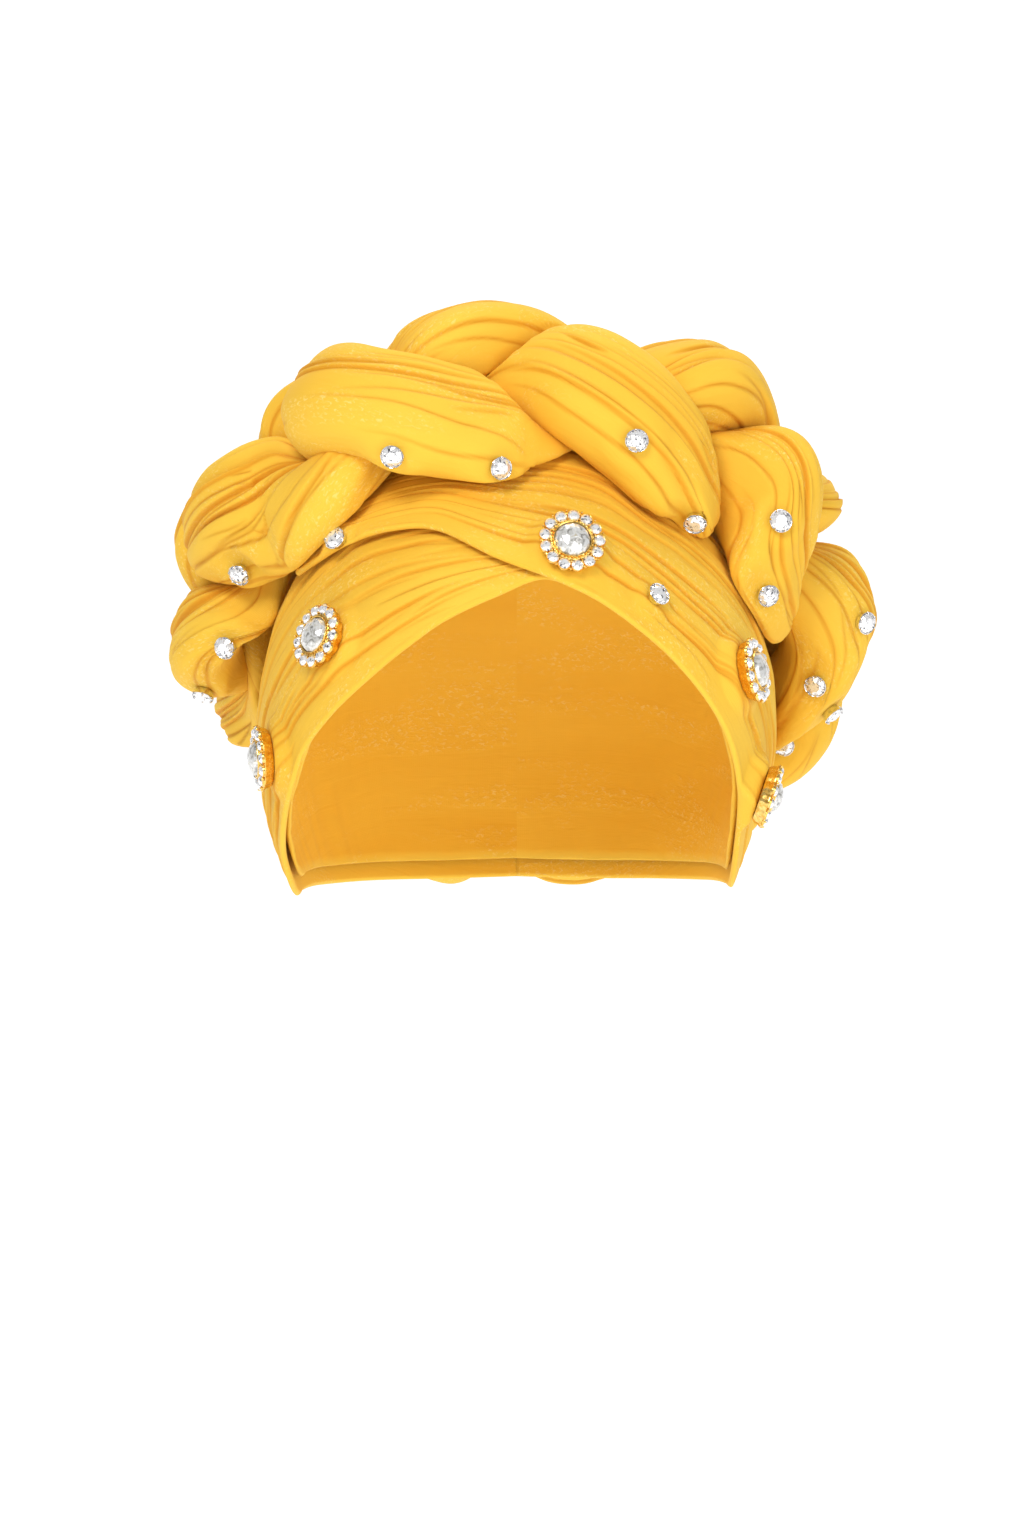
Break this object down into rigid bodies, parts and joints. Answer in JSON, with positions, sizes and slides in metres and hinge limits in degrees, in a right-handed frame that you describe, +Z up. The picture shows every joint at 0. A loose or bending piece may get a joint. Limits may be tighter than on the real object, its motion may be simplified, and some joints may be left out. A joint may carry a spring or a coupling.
{
  "type": "pre-tied turban",
  "caption": "Head wrap with two pleated bands crossed over the brow and a plaited ring of padded rolls round the crown, set with pearl brooches and crystals.",
  "frame": {"origin": "top of the wearer's head, where the cap's inner face rests on it", "axes": "+Z up, the wearer faces -Y, +X towards the wearer's left (right in the front view)"},
  "size_m": [0.2104, 0.2224, 0.1737],
  "materials": {
    "cap": "matt",
    "wrap_over": "matt, crinkled",
    "wrap_under": "matt, crinkled",
    "braid_strand_1": "matt, crinkled",
    "braid_strand_2": "matt, crinkled",
    "braid_strand_3": "matt, crinkled",
    "gilt": "polished",
    "pearl": "pearly",
    "crystal_cup": "polished",
    "crystal": "cut and foiled"
  },
  "bodies": {
    "root": {"cap": "cap", "wrap_over": "wrap_over", "wrap_under": "wrap_under", "braid_strand_1": "braid_strand_1", "braid_strand_2": "braid_strand_2", "braid_strand_3": "braid_strand_3", "brooch_1_setting": "gilt", "brooch_1_pearl": "pearl", "brooch_2_setting": "gilt", "brooch_2_pearl": "pearl", "brooch_3_setting": "gilt", "brooch_3_pearl": "pearl", "brooch_4_setting": "gilt", "brooch_4_pearl": "pearl", "brooch_5_setting": "gilt", "brooch_5_pearl": "pearl", "crystal_1": "crystal", "crystal_1_cup": "crystal_cup", "crystal_2": "crystal", "crystal_2_cup": "crystal_cup", "crystal_3": "crystal", "crystal_3_cup": "crystal_cup", "crystal_4": "crystal", "crystal_4_cup": "crystal_cup", "crystal_5": "crystal", "crystal_5_cup": "crystal_cup", "crystal_6": "crystal", "crystal_6_cup": "crystal_cup", "crystal_7": "crystal", "crystal_7_cup": "crystal_cup", "crystal_8": "crystal", "crystal_8_cup": "crystal_cup", "crystal_9": "crystal", "crystal_9_cup": "crystal_cup", "crystal_10": "crystal", "crystal_10_cup": "crystal_cup", "crystal_11": "crystal", "crystal_11_cup": "crystal_cup", "crystal_12": "crystal", "crystal_12_cup": "crystal_cup", "crystal_13": "crystal", "crystal_13_cup": "crystal_cup", "crystal_14": "crystal", "crystal_14_cup": "crystal_cup", "crystal_15": "crystal", "crystal_15_cup": "crystal_cup"}
  },
  "joints": []
}
